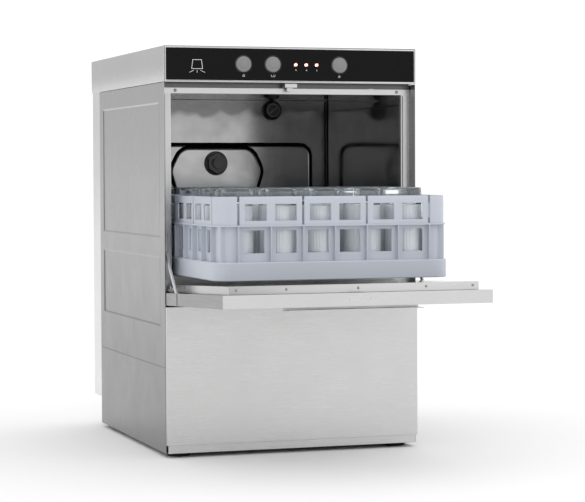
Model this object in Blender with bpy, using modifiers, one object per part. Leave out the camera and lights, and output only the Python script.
"""Undercounter commercial glasswasher: door open, rack of the wash chamber drawn out over it.

Metres, +Z up, the machine's front faces -Y. The origin lies on the floor, at the middle of the
whole object's footprint. Every piece below is placed in the cabinet's own frame, whose y is the
depth behind the cabinet's front edge, under the empty "cabinet_frame".
"""

from math import atan2, cos, hypot, pi, radians, sin

import bmesh
import bpy
from mathutils import Matrix, Vector

# ---------------------------------------------------------------- driving dimensions
WIDTH = 0.450            # outside of the cabinet
DEPTH = 0.535            # front edge to the back of the service cover
HEIGHT = 0.690           # floor to the top of the cover
SHEET = 0.0012           # stainless sheet
GAP = 0.0003             # between touching pieces
FOOT = 0.0075            # floor to the underside of the base
BODY_DEPTH = 0.469       # front edge to the back of the side panels
BASE_TOP = 0.1515        # seam between the base and the side panels
COVER_BOTTOM = 0.6289    # seam between the side panels and the top cover
FASCIA_BOTTOM = 0.6292
FRAME_PLANE = 0.023      # depth of the door frame behind the cabinet's front edge
FRAME_LIP = 0.008        # the opening's edge is turned back by this much
OPENING_HALF = 0.207     # loading opening
OPENING_BOTTOM = 0.3035
OPENING_TOP = 0.611
FRAME_TOP = 0.6205
CHAMBER_BACK = 0.463
CHAMBER_ROOF = 0.6165
PAN_FLOOR = 0.235        # floor of the wash chamber
TANK_FLOOR = 0.165       # floor of the well in it

DOOR_HALF = 0.2232
DOOR_TILT = radians(2.35)   # the open door stops this far above level
HINGE_Y = 0.008
HINGE_Z = 0.280
DOOR_NEAR = 0.005        # door's own length is measured outward from its hinge line
DOOR_FAR = 0.341
SKIN_LOW = -0.0241       # heights of the open door, from its hinge line
SKIN_HIGH = -0.0031
LINER_HIGH = 0.0102
LINER_HALF = 0.208
LINER_FAR = 0.322

RACK_HALF = 0.200
RACK_FRONT = -0.2206     # how far the rack stands out of the cabinet
RACK_BOTTOM = 0.306
RACK_TOP = 0.4395
RACK_IN = 0.0294         # depth of its front when it is home in the chamber
RACK_CELL = 0.054
RACK_CELLS = 6
FLOOR_PITCH = 0.060      # long holes of the rack's floor
FLOOR_HOLE = 0.050
FLOOR_HALF = 0.176
LEDGE = 0.3920           # height of the ledge between the rack's two tiers
SKIRT = 0.3355           # top of its plain skirt
WALL_HALF = 0.1965
INNER_HALF = 0.1938
CARRY = (RACK_IN - RACK_FRONT) / 2   # radius of the half circle on which it is carried in

STAY_X = 0.22045         # middle of the stay's thickness
STAY_OUT = 0.0673        # stay's pin on the door, outward from the hinge line and below it
STAY_DROP = -0.0070
STAY_SLOT_Z = 0.3555     # where the stay passes the frame
STAY_SLOT_LOW, STAY_SLOT_HIGH = 0.343, 0.381
JAMB = 0.0024            # flat steel strip on each side of the loading opening
STAY_LENGTH = 0.125

ARM_Y = 0.2440           # spin axis of both arms
CHAMBER_HALF = 0.2233
SUMP = (0.060, 0.140)    # holes of the tank floor, x and y
OVERFLOW = (-0.100, 0.340)

BUTTONS = {"button_power": -0.0865, "button_cycle": -0.0346, "button_start": 0.0847}
LAMPS = {"lamp_left": 0.0064, "lamp_middle": 0.0251, "lamp_right": 0.0438}
CONTROL_Z = 0.6598
BUTTON_R = 0.0135
LAMP_R = 0.0028
CONTROL_GAP = 0.0003     # round a lamp; a button has a little more

FIELD_DEPTH = 0.0013     # fields pressed into the side panels, and the width of their sloping edge
FIELD_SLOPE = 0.0028
FIELD_FRONT, FIELD_BACK = 0.030, 0.445
FIELDS = ((0.2195, 0.3365), (0.369, 0.596))

REACH = -HINGE_Y + DOOR_FAR * cos(DOOR_TILT) - SKIN_LOW * sin(DOOR_TILT)
FRONT_Y = (REACH - DEPTH) / 2        # world y of the cabinet's front edge

for old in list(bpy.data.objects):
    bpy.data.objects.remove(old, do_unlink=True)


# ---------------------------------------------------------------- collections and materials
def new_collection(name):
    found = bpy.data.collections.get(name)
    if found is None:
        found = bpy.data.collections.new(name)
        bpy.context.scene.collection.children.link(found)
    return found


PARTS = new_collection("commercial_dishwasher")
CUTTERS = new_collection("cutters")


def material(name, color, roughness, metallic=0.0):
    made = bpy.data.materials.new(name)
    made.use_nodes = True
    shader = made.node_tree.nodes["Principled BSDF"]
    shader.inputs["Base Color"].default_value = (*color, 1.0)
    shader.inputs["Roughness"].default_value = roughness
    shader.inputs["Metallic"].default_value = metallic
    return made


STEEL = material("brushed_steel", (0.60, 0.60, 0.59), 0.32, 1.0)
POLISHED = material("polished_steel", (0.52, 0.52, 0.53), 0.12, 1.0)
BLACK = material("black_panel", (0.012, 0.012, 0.012), 0.25)
RUBBER = material("black_rubber", (0.02, 0.02, 0.02), 0.70)
GREY_PLASTIC = material("grey_plastic", (0.30, 0.30, 0.30), 0.45)
RACK_PLASTIC = material("rack_plastic", (0.62, 0.66, 0.74), 0.40)
LAMP_RED = material("lamp_red", (0.75, 0.10, 0.06), 0.20)
HOSE = material("hose_rubber", (0.03, 0.03, 0.03), 0.60)
BRASS = material("brass", (0.70, 0.50, 0.22), 0.30, 1.0)
BLUE_PLASTIC = material("valve_plastic", (0.10, 0.16, 0.30), 0.45)
MOTOR = material("motor_paint", (0.12, 0.13, 0.14), 0.50)


# ---------------------------------------------------------------- modelling helpers
def empty(name, place, parent=None, turn=0.0):
    made = bpy.data.objects.new(name, None)
    made.empty_display_size = 0.03
    PARTS.objects.link(made)
    made.parent = parent
    made.location = place
    made.rotation_euler = (turn, 0.0, 0.0)
    return made


def node(name, bm, look, parent, collection=None):
    """An object from a bmesh, with its origin at its parent's."""
    mesh = bpy.data.meshes.new(name)
    bmesh.ops.recalc_face_normals(bm, faces=bm.faces)
    bm.to_mesh(mesh)
    bm.free()
    made = bpy.data.objects.new(name, mesh)
    (collection or PARTS).objects.link(made)
    made.parent = parent
    if look:
        mesh.materials.append(look)
    if collection is CUTTERS:
        made.hide_render = True
        made.display_type = "WIRE"
    return made


def box(low, high, bm=None):
    """A box between two corners, added to a bmesh."""
    bm = bm or bmesh.new()
    low, high = Vector(low), Vector(high)
    size = high - low
    place = Matrix.Translation((low + high) / 2) @ Matrix.Diagonal((*size, 1.0))
    bmesh.ops.create_cube(bm, size=1.0, matrix=place)
    return bm


def round_box(low, high, radius, along="Z", steps=4):
    """A box whose four edges along one axis are rounded."""
    bm = box(low, high)
    axis = "XYZ".index(along)
    edges = [e for e in bm.edges
             if abs((e.verts[0].co - e.verts[1].co).normalized()[axis]) > 0.99]
    bmesh.ops.bevel(bm, geom=edges, offset=radius, segments=steps, affect="EDGES", profile=0.5)
    return bm


AXIS_TURN = {"X": Matrix.Rotation(pi / 2, 4, "Y"), "Y": Matrix.Rotation(pi / 2, 4, "X"),
             "Z": Matrix.Identity(4)}


def rod(centre, radius, length, along="Z", sides=24, top=None, bm=None):
    """A cylinder, or a cone when top is given, centred on a point."""
    bm = bm or bmesh.new()
    place = Matrix.Translation(centre) @ AXIS_TURN[along]
    bmesh.ops.create_cone(bm, cap_ends=True, segments=sides, radius1=radius,
                          radius2=radius if top is None else top, depth=length, matrix=place)
    return bm


def combine(target, tool, operation):
    step = target.modifiers.new(operation.lower(), "BOOLEAN")
    step.operation = operation
    step.solver = "EXACT"
    step.object = tool


def cutter(name, bm, parent):
    return node(name, bm, None, parent, CUTTERS)


def cut(target, bm):
    tool = cutter(f"{target.name}_cut{len(target.modifiers)}", bm, target.parent)
    tool.location = target.location
    combine(target, tool, "DIFFERENCE")


def join(target, bm):
    tool = cutter(f"{target.name}_add{len(target.modifiers)}", bm, target.parent)
    tool.location = target.location
    combine(target, tool, "UNION")


def smooth(made, angle=35):
    made.data.shade_smooth()
    made.data.set_sharp_from_angle(angle=radians(angle))
    return made


def turned(name, profile, look, parent, place, turn=(0.0, 0.0, 0.0), steps=32, ring=False):
    """A turned piece: profile points (radius, height) run down its outer side. A ring's close up."""
    mesh = bpy.data.meshes.new(name)
    points = [(r, 0.0, z) for r, z in profile]
    edges = [(i, i + 1) for i in range(len(points) - 1)]
    if ring:
        edges.append((len(points) - 1, 0))
    mesh.from_pydata(points, edges, [])
    mesh.materials.append(look)
    made = bpy.data.objects.new(name, mesh)
    PARTS.objects.link(made)
    made.parent = parent
    made.location = place
    made.rotation_euler = turn
    spin = made.modifiers.new("turn", "SCREW")
    spin.steps = spin.render_steps = steps
    spin.use_merge_vertices = True
    spin.merge_threshold = 0.00005
    spin.use_smooth_shade = True
    return made


def tube(name, points, radius, look, parent, sides=3, closed=False):
    """A tube through its points, made a mesh with its caps welded."""
    curve = bpy.data.curves.new(name, "CURVE")
    curve.dimensions = "3D"
    curve.bevel_depth = radius
    curve.bevel_resolution = sides
    curve.use_fill_caps = not closed
    spline = curve.splines.new("POLY")
    spline.points.add(len(points) - 1)
    for point, place in zip(spline.points, points):
        point.co = (*place, 1.0)
    spline.use_cyclic_u = closed
    drawn = bpy.data.objects.new(f"{name}_curve", curve)
    PARTS.objects.link(drawn)
    drawn.parent = parent
    bpy.context.view_layer.update()
    graph = bpy.context.evaluated_depsgraph_get()
    mesh = bpy.data.meshes.new_from_object(drawn.evaluated_get(graph))
    bm = bmesh.new()
    bm.from_mesh(mesh)
    bmesh.ops.remove_doubles(bm, verts=bm.verts, dist=0.00002)
    bpy.data.objects.remove(drawn, do_unlink=True)
    bpy.data.meshes.remove(mesh)
    return smooth(node(name, bm, look, parent), 50)


def smooth_path(points, steps=5):
    """A Catmull-Rom curve through its points."""
    held = [points[0], *points, points[-1]]
    path = []
    for a, b, c, d in zip(held, held[1:], held[2:], held[3:]):
        a, b, c, d = map(Vector, (a, b, c, d))
        for k in range(steps):
            t = k / steps
            path.append(0.5 * (2 * b + (c - a) * t + (2 * a - 5 * b + 4 * c - d) * t * t
                               + (3 * b - a - 3 * c + d) * t ** 3))
    path.append(Vector(points[-1]))
    return path


def bend(centre, radius, start, end, steps=6, plane="XY"):
    """Points of an arc; angles in degrees, counted in the named plane."""
    first, second = ("XYZ".index(letter) for letter in plane)
    points = []
    for k in range(steps + 1):
        angle = radians(start + (end - start) * k / steps)
        point = list(centre)
        point[first] += radius * cos(angle)
        point[second] += radius * sin(angle)
        points.append(tuple(point))
    return points


cabinet = empty("cabinet_frame", (0.0, FRONT_Y, 0.0))


# ---------------------------------------------------------------- casing
def pressed_side(name, side):
    """A side panel: one sheet with two shallow fields pressed inwards."""
    columns = [0.0, FIELD_FRONT, FIELD_FRONT + FIELD_SLOPE, FIELD_BACK - FIELD_SLOPE, FIELD_BACK, BODY_DEPTH]
    rows = [BASE_TOP]
    for low, high in FIELDS:
        rows += [low, low + FIELD_SLOPE, high - FIELD_SLOPE, high]
    rows.append(COVER_BOTTOM - GAP)
    bm = bmesh.new()
    outer = side * WIDTH / 2
    grid = []
    for z in rows:
        line = []
        for y in columns:
            pressed = FIELD_FRONT < y < FIELD_BACK and any(low < z < high for low, high in FIELDS)
            line.append(bm.verts.new((outer - side * FIELD_DEPTH * pressed, y, z)))
        grid.append(line)
    for lower, upper in zip(grid, grid[1:]):
        for k in range(len(columns) - 1):
            bm.faces.new((lower[k], lower[k + 1], upper[k + 1], upper[k]))
    made = node(name, bm, STEEL, cabinet)
    if made.data.polygons[0].normal.x * side < 0:
        made.data.flip_normals()
    sheet = made.modifiers.new("sheet", "SOLIDIFY")
    sheet.thickness = SHEET
    sheet.offset = -1.0
    return made


pressed_side("side_panel_left", -1)
pressed_side("side_panel_right", 1)

half = WIDTH / 2
base = node("base_tray", box((-half, 0.0, FOOT), (half, BODY_DEPTH, BASE_TOP - GAP)), STEEL, cabinet)
cut(base, box((-half + SHEET, -0.01, FOOT + SHEET), (half - SHEET, BODY_DEPTH - SHEET, 0.3)))
cut(base, box((-0.150, BODY_DEPTH - 0.01, 0.030), (0.150, BODY_DEPTH + 0.01, 0.3)))

cover = node("top_cover", round_box((-half, -0.0010, COVER_BOTTOM), (half, DEPTH, HEIGHT), 0.002, "Y", 2),
             STEEL, cabinet)
cut(cover, box((-half + SHEET, -0.02, 0.60), (half - SHEET, DEPTH - SHEET, HEIGHT - SHEET)))

rear_half = half - 0.0015
rear_back = DEPTH - SHEET - GAP
rear_foot = 0.056
rear = node("rear_cover", box((-rear_half, BODY_DEPTH + GAP, rear_foot),
                              (rear_half, rear_back, COVER_BOTTOM + 0.006)),
            STEEL, cabinet)
cut(rear, box((-rear_half + SHEET, BODY_DEPTH - 0.01, rear_foot + SHEET),
              (rear_half - SHEET, rear_back - SHEET, HEIGHT)))
LOUVRES, LOUVRE_PITCH, LOUVRE_LOW = 8, 0.012, 0.16
for k in range(LOUVRES):
    z = LOUVRE_LOW + LOUVRE_PITCH * k
    cut(rear, round_box((-0.06, DEPTH - 0.02, z), (0.06, DEPTH + 0.02, z + 0.004), 0.0019, "Y", 3))

node("rear_wall", box((-CHAMBER_HALF, CHAMBER_BACK, BASE_TOP),
                      (CHAMBER_HALF, CHAMBER_BACK + SHEET, CHAMBER_ROOF - 0.0002)), POLISHED, cabinet)
node("chamber_roof", box((-CHAMBER_HALF, FRAME_PLANE + SHEET + 0.0005, CHAMBER_ROOF),
                         (CHAMBER_HALF, CHAMBER_BACK + SHEET, CHAMBER_ROOF + SHEET)), POLISHED, cabinet)

frame = node("front_frame", box((-CHAMBER_HALF, FRAME_PLANE, 0.2625),
                                (CHAMBER_HALF, FRAME_PLANE + SHEET, FRAME_TOP)),
             STEEL, cabinet)
join(frame, box((-OPENING_HALF - SHEET, FRAME_PLANE + 0.0004, OPENING_BOTTOM - SHEET),
                (OPENING_HALF + SHEET, FRAME_PLANE + FRAME_LIP, OPENING_TOP + SHEET)))
cut(frame, box((-OPENING_HALF, 0.0, OPENING_BOTTOM), (OPENING_HALF, 0.05, OPENING_TOP)))
for side in (-1, 1):
    low, high = sorted((side * 0.2186, side * 0.2240))
    cut(frame, box((low, 0.0, STAY_SLOT_LOW), (high, 0.0256, STAY_SLOT_HIGH)))

for name, side in (("door_jamb_left", -1), ("door_jamb_right", 1)):
    low, high = sorted((side * 0.2093, side * 0.2184))
    jamb = node(name, round_box((low, FRAME_PLANE - GAP - JAMB, 0.300), (high, FRAME_PLANE - GAP, 0.6095),
                                0.0008, "Z", 2),
                STEEL, cabinet)
    low, high = sorted((side * 0.2140, side * 0.2166))
    cut(jamb, box((low, 0.0, STAY_SLOT_LOW), (high, 0.03, STAY_SLOT_HIGH)))
    for z in (0.398, 0.420):
        cut(jamb, rod((side * 0.2150, FRAME_PLANE, z), 0.0013, 0.02, "Y", 12))

for name, side in (("stay_housing_left", -1), ("stay_housing_right", 1)):
    low, high = sorted((side * 0.2100, side * (CHAMBER_HALF - 0.0016)))
    hollow_low, hollow_high = sorted((side * 0.2112, side * 0.2300))
    housing = node(name, box((low, FRAME_PLANE + FRAME_LIP + GAP, 0.334), (high, 0.142, 0.394)), STEEL,
                   cabinet)
    cut(housing, box((hollow_low, 0.02, 0.3352), (hollow_high, 0.1408, 0.3928)))

# The chamber floor: a shallow pan with a deeper well, open at the top.
tank = node("wash_tank", box((-0.2225, 0.0250, PAN_FLOOR - SHEET), (0.2225, 0.4620, 0.270)), POLISHED,
            cabinet)
join(tank, box((-0.150, 0.090, TANK_FLOOR - SHEET), (0.150, 0.400, PAN_FLOOR - 0.0005)))
cut(tank, box((-0.2225 + SHEET, 0.0250 + SHEET, PAN_FLOOR), (0.2225 - SHEET, 0.4620 - SHEET, 0.30)))
cut(tank, box((-0.150 + SHEET, 0.090 + SHEET, TANK_FLOOR), (0.150 - SHEET, 0.400 - SHEET, 0.25)))
cut(tank, rod((*SUMP, TANK_FLOOR), 0.0125, 0.02))
cut(tank, rod((*OVERFLOW, TANK_FLOOR), 0.0085, 0.02))
cut(tank, rod((0.0, ARM_Y, TANK_FLOOR), 0.0085, 0.02))

for name, side in (("rack_rail_left", -1), ("rack_rail_right", 1)):
    flange = sorted((side * 0.186, side * 0.2195))
    leg = sorted((side * 0.2183, side * 0.2195))
    rail = node(name, box((flange[0], 0.034, 0.3034), (flange[1], 0.455, 0.3048)), POLISHED, cabinet)
    join(rail, box((leg[0], 0.034, 0.282), (leg[1], 0.455, 0.3042)))

panel = node("front_panel", box((-half + 0.0005, -0.0085, 0.0215), (half - 0.0005, -GAP, 0.2535)), STEEL,
             cabinet)
cut(panel, box((-half + 0.0017, -0.0085 + SHEET, 0.0227), (half - 0.0017, 0.01, 0.2523)))
node("plinth", box((-half + 0.0030, -0.0060, FOOT + 0.0003), (half - 0.0030, -GAP, 0.0212)), STEEL, cabinet)

for name, x, y in (("foot_front_left", -0.195, 0.030), ("foot_front_right", 0.195, 0.030),
                   ("foot_rear_left", -0.195, 0.425), ("foot_rear_right", 0.195, 0.425)):
    turned(name, [(0.0, FOOT - GAP), (0.014, FOOT - GAP), (0.018, FOOT - 0.0020), (0.020, 0.0015),
                  (0.018, 0.0), (0.0, 0.0)],
           RUBBER, cabinet, (x, y, 0.0), steps=24)


# ---------------------------------------------------------------- controls
fascia = node("control_fascia", box((-half + SHEET + GAP, -0.0010, FASCIA_BOTTOM),
                                    (half - SHEET - GAP, 0.0012, HEIGHT - SHEET - GAP)),
              STEEL, cabinet)
plate = node("fascia_plate", round_box((-0.2215, -0.0022, FASCIA_BOTTOM + 0.0032),
                                       (0.2215, -0.0013, HEIGHT - 0.0040), 0.0012, "Y", 2),
             BLACK, cabinet)

for sheet in (fascia, plate):
    control_holes = bmesh.new()
    for x in BUTTONS.values():
        rod((x, 0.0, CONTROL_Z), BUTTON_R + CONTROL_GAP + 0.0002, 0.02, "Y", 28, bm=control_holes)
    for x in LAMPS.values():
        rod((x, 0.0, CONTROL_Z), LAMP_R + CONTROL_GAP, 0.02, "Y", 12, bm=control_holes)
    cut(sheet, control_holes)

for name, x in BUTTONS.items():
    turned(name, [(0.0, 0.0055), (0.0060, 0.0052), (0.0110, 0.0040), (BUTTON_R - 0.0008, 0.0026),
                  (BUTTON_R, 0.0012), (BUTTON_R, -0.0120), (0.0, -0.0120)],
           GREY_PLASTIC, cabinet, (x, 0.0, CONTROL_Z), (pi / 2, 0.0, 0.0), 28)
for name, x in LAMPS.items():
    turned(name, [(0.0, 0.0036), (0.0016, 0.0033), (LAMP_R, 0.0024), (LAMP_R, -0.0060), (0.0, -0.0060)],
           LAMP_RED, cabinet, (x, 0.0, CONTROL_Z), (pi / 2, 0.0, 0.0), 12)
board = node("control_board", box((-0.180, 0.0200, 0.6400), (0.180, 0.0218, 0.6820)), GREY_PLASTIC, cabinet)
join(board, box((-0.150, 0.0210, 0.6450), (-0.060, 0.0400, 0.6750)))
join(board, box((0.020, 0.0210, 0.6450), (0.150, 0.0340, 0.6700)))
catch = node("door_catch", box((-0.011, 0.0050, 0.6215), (0.011, 0.0226, 0.6280)), STEEL, cabinet)
join(catch, box((-0.005, 0.0120, 0.6150), (0.005, 0.0200, 0.6220)))


# ---------------------------------------------------------------- door, on its hinge line
hinge = empty("door_hinge_axis", (0.0, HINGE_Y, HINGE_Z), cabinet, -DOOR_TILT)


def door_box(x0, x1, near, far, low, high):
    """A box in the open door's frame: near and far are lengths outward from the hinge line."""
    return box((x0, -far, low), (x1, -near, high))


skin = node("door_panel", door_box(-DOOR_HALF, DOOR_HALF, DOOR_NEAR, DOOR_FAR, SKIN_LOW, SKIN_HIGH), STEEL,
            hinge)
cut(skin, door_box(-DOOR_HALF + SHEET, DOOR_HALF - SHEET, -0.01, DOOR_FAR - SHEET, SKIN_LOW + SHEET,
                   SKIN_HIGH - SHEET))
cut(skin, door_box(-0.2035, 0.2035, -0.01, 0.3175, SKIN_HIGH - 0.005, 0.01))
for side in (-1, 1):
    low, high = sorted((side * 0.2030, side * (DOOR_HALF - SHEET)))
    cut(skin, door_box(low, high, -0.01, 0.118, SKIN_HIGH - 0.005, 0.01))
cut(skin, door_box(-0.0125, 0.0125, DOOR_FAR - 0.02, DOOR_FAR - 0.0025, SKIN_HIGH - 0.003, 0.01))

liner = node("door_liner", round_box((-LINER_HALF, -LINER_FAR, SKIN_HIGH + GAP),
                                     (LINER_HALF, -0.0120, LINER_HIGH),
                                     0.002, "Z", 2), POLISHED, hinge)
cut(liner, door_box(-LINER_HALF + SHEET, LINER_HALF - SHEET, 0.0132, LINER_FAR - SHEET, -0.02,
                    LINER_HIGH - SHEET))

handle = node("door_handle", door_box(-0.112, 0.112, 0.292, 0.3005, SKIN_LOW - 0.0058, SKIN_LOW - GAP),
              STEEL, hinge)
join(handle, door_box(-0.112, 0.112, 0.2925, 0.3250, SKIN_LOW - 0.0058, SKIN_LOW - 0.0044))

for name, side in (("door_hinge_left", -1), ("door_hinge_right", 1)):
    low, high = sorted((side * 0.2090, side * 0.2125))
    ear = node(name, door_box(low, high, -0.0070, 0.078, SKIN_LOW + SHEET + GAP, SKIN_HIGH - GAP), STEEL,
               hinge)
    join(ear, rod(((low + high) / 2, 0.0, 0.0), 0.0068, high - low - 0.0002, "X", 20))
    cut(ear, rod((side * 0.21, 0.0, 0.0), 0.0043, 0.02, "X"))
    pin_end = DOOR_HALF - SHEET - GAP
    join(ear, rod((side * (0.2110 + pin_end) / 2, -STAY_OUT, STAY_DROP), 0.0022, pin_end - 0.2110, "X", 16))

for side in (-1, 1):
    low, high = sorted((side * 0.2135, side * 0.2165))
    join(frame, round_box((low, -0.0010, 0.2700), (high, FRAME_PLANE + 0.0006, 0.2900), 0.0060, "X", 3))
    cut(frame, rod((side * 0.215, HINGE_Y, HINGE_Z), 0.0043, 0.02, "X"))

rod_turn = empty("hinge_rod_axis", (0.0, HINGE_Y, HINGE_Z), cabinet)
smooth(node("hinge_rod", rod((0.0, 0.0, 0.0), 0.0040, 0.4360, "X"), STEEL, rod_turn))

# The stays: each turns on a pin on the door and slides through a slot of the frame.
pin_y = HINGE_Y - STAY_OUT * cos(DOOR_TILT) + STAY_DROP * sin(DOOR_TILT)
pin_z = HINGE_Z + STAY_DROP * cos(DOOR_TILT) + STAY_OUT * sin(DOOR_TILT)
stay_angle = atan2(STAY_SLOT_Z - pin_z, FRAME_PLANE - pin_y)
for name, side in (("stay_left", -1), ("stay_right", 1)):
    pivot = empty(f"{name}_pivot", (0.0, pin_y, pin_z), cabinet, stay_angle)
    low, high = sorted((side * (STAY_X - 0.00125), side * (STAY_X + 0.00125)))
    stay = node(name, round_box((low, -0.0050, -0.0040), (high, STAY_LENGTH, 0.0040), 0.0036, "X", 4),
                STEEL, pivot)
    cut(stay, rod((side * STAY_X, 0.0, 0.0), 0.0026, 0.02, "X", 16))


# ---------------------------------------------------------------- rack
rack_axis = (0.0, HINGE_Y - CARRY, HINGE_Z)
carrier = empty("rack_axis", rack_axis, cabinet)


def rack_block(half_width, low, high, radius):
    """A block of the rack's plan outline, in the rack's own frame."""
    centre = (RACK_FRONT + RACK_HALF) - rack_axis[1]
    return round_box((-half_width, centre - half_width, low - rack_axis[2]),
                     (half_width, centre + half_width, high - rack_axis[2]), radius, "Z", 5)


rack = node("rack", rack_block(RACK_HALF, RACK_BOTTOM, SKIRT, 0.030), RACK_PLASTIC, carrier)
join(rack, rack_block(WALL_HALF, SKIRT - 0.004, RACK_TOP, 0.0265))
join(rack, rack_block(WALL_HALF + 0.0022, LEDGE, LEDGE + 0.0022, 0.0287))
cut(rack, rack_block(INNER_HALF, RACK_BOTTOM + 0.004, RACK_TOP + 0.02, 0.0238))

centre_y = (RACK_FRONT + RACK_HALF) - rack_axis[1]


def rack_windows(low, high, width, shift=0.0):
    """One tier's windows: slots that run right through the rack both ways."""
    along, across = bmesh.new(), bmesh.new()
    for k in range(RACK_CELLS):
        x = (k - (RACK_CELLS - 1) / 2) * RACK_CELL + shift * (1 if k % 2 == 0 else -1)
        span = (low - rack_axis[2], high - rack_axis[2])
        box((x - width / 2, centre_y - 0.22, span[0]), (x + width / 2, centre_y + 0.22, span[1]), along)
        box((-0.22, centre_y + x - width / 2, span[0]), (0.22, centre_y + x + width / 2, span[1]), across)
    return along, across


for windows in (rack_windows(0.3495, 0.3860, 0.035), rack_windows(0.4010, 0.4275, 0.036, 0.002)):
    for bm in windows:
        cut(rack, bm)
rack_holes = bmesh.new()
for k in range(RACK_CELLS):
    x = (k - (RACK_CELLS - 1) / 2) * FLOOR_PITCH
    box((x - FLOOR_HOLE / 2, centre_y - FLOOR_HALF, RACK_BOTTOM - 0.01 - rack_axis[2]),
        (x + FLOOR_HOLE / 2, centre_y + FLOOR_HALF, RACK_BOTTOM + 0.01 - rack_axis[2]), rack_holes)
cut(rack, rack_holes)


# ---------------------------------------------------------------- wash system
def spray_arm(name, z, half_length, width, height, bore, look):
    """A flat arm on a round hub, with spray holes along the top."""
    pivot = empty(f"{name}_axis", (0.0, ARM_Y, z), cabinet)
    arm = node(name, round_box((-half_length, -width / 2, -height / 2),
                               (half_length, width / 2, height / 2), width * 0.42, "Z", 4),
               look, pivot)
    join(arm, rod((0.0, 0.0, 0.0), 0.021, height + 0.004, sides=24))
    cut(arm, rod((0.0, 0.0, 0.0), bore, 0.05, sides=24))
    for side in (-1, 1):
        for k in range(4):
            x = side * (0.055 + 0.032 * k)
            cut(arm, round_box((x - 0.009, -0.0015, height / 4), (x + 0.009, 0.0015, 0.02), 0.0012, "Z", 2))
    return arm


spray_arm("wash_arm", 0.2660, 0.172, 0.034, 0.012, 0.0098, POLISHED)
spray_arm("rinse_arm", 0.2880, 0.165, 0.018, 0.008, 0.0068, POLISHED)
turned("arm_post", [(0.0, 0.1330), (0.0105, 0.1330), (0.0105, 0.1305), (0.0060, 0.1300), (0.0060, 0.1145),
                    (0.0090, 0.1140), (0.0090, 0.0930), (0.0145, 0.0925), (0.0145, 0.0790),
                    (0.0145, 0.0010), (0.0, 0.0010)],
       POLISHED, cabinet, (0.0, ARM_Y, TANK_FLOOR))
surface = node("surface_filter", box((-0.146, 0.094, 0.2420), (0.146, 0.396, 0.2432)), POLISHED, cabinet)
cut(surface, rod((0.0, ARM_Y, 0.2426), 0.0165, 0.02))
cut(surface, rod((*OVERFLOW, 0.2426), 0.0130, 0.02))
slots = bmesh.new()
for i in range(8):
    for j in range(5):
        x, y = -0.126 + 0.036 * i, 0.120 + 0.0625 * j
        if hypot(x, y - ARM_Y) > 0.040 and hypot(x - OVERFLOW[0], y - OVERFLOW[1]) > 0.035:
            box((x - 0.012, y - 0.0015, 0.23), (x + 0.012, y + 0.0015, 0.25), slots)
cut(surface, slots)
for x in (-0.1435, 0.1435):
    join(surface, box((x - 0.0025, 0.110, 0.2352), (x + 0.0025, 0.380, 0.2424)))

turned("overflow_pipe", [(0.0, 0.0860), (0.0110, 0.0860), (0.0110, 0.0800), (0.0078, 0.0790),
                         (0.0078, -0.0009),
                         (0.0, -0.0009)],
       GREY_PLASTIC, cabinet, (*OVERFLOW, TANK_FLOOR), steps=24)

heater_z = 0.1900
heater_path = [(0.030, 0.3970, heater_z), (0.030, 0.3100, heater_z),
               *bend((0.075, 0.3100, heater_z), 0.045, 180, 360, 8), (0.120, 0.3970, heater_z)]
tube("tank_heater", heater_path, 0.0042, POLISHED, cabinet, 2)

BOILER_END, BOILER_R, PORT_R = 0.140, 0.058, 0.008
turned("boiler", [(PORT_R, BOILER_END), (0.030, 0.138), (0.050, 0.130), (BOILER_R, 0.118), (BOILER_R, -0.118),
                  (0.050, -0.130), (0.030, -0.138), (PORT_R, -BOILER_END), (PORT_R, -0.138), (0.029, -0.136),
                  (0.049, -0.128), (0.0565, -0.117), (0.0565, 0.117), (0.049, 0.128), (0.029,
                                                                                       0.136), (PORT_R,
                                                                                                0.138)],
       POLISHED, cabinet, (-0.040, 0.3900, 0.0790), (0.0, pi / 2, 0.0), 32, ring=True)

turned("wash_pump_motor", [(0.0, 0.060), (0.036, 0.060), (0.042, 0.054), (0.042, -0.054), (0.036, -0.060),
                           (0.0, -0.060)],
       MOTOR, cabinet, (0.060, 0.2300, 0.0700), (pi / 2, 0.0, 0.0), 28)
turned("wash_pump_housing", [(0.0, 0.020), (0.040, 0.020), (0.048, 0.012), (0.048, -0.016), (0.030, -0.020),
                             (0.0, -0.020)],
       GREY_PLASTIC, cabinet, (0.060, 0.1490, 0.0700), (pi / 2, 0.0, 0.0), 28)
under_tank = TANK_FLOOR - SHEET - GAP


def hose(name, points, radius):
    """A bent hose whose two ends are straight stubs."""
    path = [points[0], *smooth_path(points[1:-1], 3), points[-1]]
    return tube(name, path, radius, HOSE, cabinet, 2)


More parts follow.
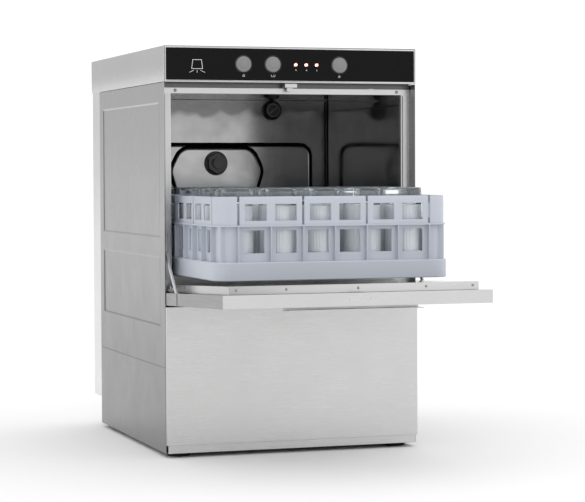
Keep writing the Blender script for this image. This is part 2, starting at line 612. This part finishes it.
hose("suction_hose", [(*SUMP, under_tank), (*SUMP, 0.152), (0.060, 0.1450, 0.140), (0.060, 0.1490, 0.128),
                      (0.060, 0.1490, 0.1185)], 0.0110)
hose("wash_hose", [(0.0115, 0.1490, 0.0700), (-0.010, 0.1490, 0.0700), (-0.036, 0.1600, 0.0760),
                   (-0.040, 0.1900, 0.105),
                   (-0.022, 0.2250, 0.130), (0.0, ARM_Y, 0.152), (0.0, ARM_Y, under_tank)], 0.0085)
hose("drain_hose", [(*OVERFLOW, under_tank), (*OVERFLOW, 0.154), (-0.130, 0.3050, 0.144),
                    (-0.175, 0.3000, 0.116),
                    (-0.196, 0.3400, 0.070), (-0.1850, 0.4100, 0.036), (-0.1850, 0.4450, 0.034),
                    (-0.1850, BODY_DEPTH - SHEET - GAP, 0.034)], 0.0085)
turned("drain_outlet", [(0.0, 0.048), (0.0105, 0.048), (0.0105, 0.044), (0.0095, 0.044), (0.0095, 0.008),
                        (0.016, 0.008),
                        (0.016, 0.0), (0.0, 0.0)],
       GREY_PLASTIC, cabinet, (-0.185, BODY_DEPTH + GAP, 0.034), (-pi / 2, 0.0, 0.0), 20)
turned("water_inlet", [(0.0, 0.030), (0.0125, 0.030), (0.0125, 0.006), (0.018, 0.006), (0.018, 0.0),
                       (0.0, 0.0)],
       BRASS, cabinet, (0.185, BODY_DEPTH + GAP, 0.034), (-pi / 2, 0.0, 0.0), 20)
turned("cable_gland", [(0.0, 0.022), (0.0075, 0.022), (0.0095, 0.016), (0.0095, 0.007), (0.012, 0.0065),
                       (0.012, 0.0), (0.0, 0.0)],
       BLACK, cabinet, (0.135, BODY_DEPTH + GAP, 0.034), (-pi / 2, 0.0, 0.0), 20)
valve = node("inlet_valve", box((0.160, 0.4150, 0.0200), (0.205, 0.4500, 0.0480)), BLUE_PLASTIC, cabinet)
join(valve, rod((0.1825, 0.4325, 0.0580), 0.0120, 0.0240, sides=20))
dispenser = node("rinse_dispenser", round_box((-0.200, 0.030, 0.060), (-0.135, 0.075, 0.125), 0.006, "Y",
                                              3), GREY_PLASTIC, cabinet)
join(dispenser, rod((-0.1675, 0.0280, 0.0925), 0.024, 0.016, "Y", 24))
node("terminal_box", round_box((0.130, 0.300, 0.0300), (0.205, 0.350, 0.130), 0.004, "Z", 2), GREY_PLASTIC,
     cabinet)

# Fittings on the chamber's back wall.
turned("vent_cap", [(0.0, 0.012), (0.0146, 0.012), (0.0180, 0.008), (0.0190, 0.0), (0.0, 0.0)],
       BLACK, cabinet, (0.1120, CHAMBER_BACK - GAP, 0.5970), (pi / 2, 0.0, 0.0), 32)
nut = node("blanking_nut", rod((0.0, CHAMBER_BACK - 0.0065, 0.4955), 0.0200, 0.0120, "Y", 6), GREY_PLASTIC,
           cabinet)
join(nut, rod((0.0, CHAMBER_BACK - 0.0120, 0.4955), 0.0105, 0.0120, "Y", 24))

bpy.context.view_layer.update()
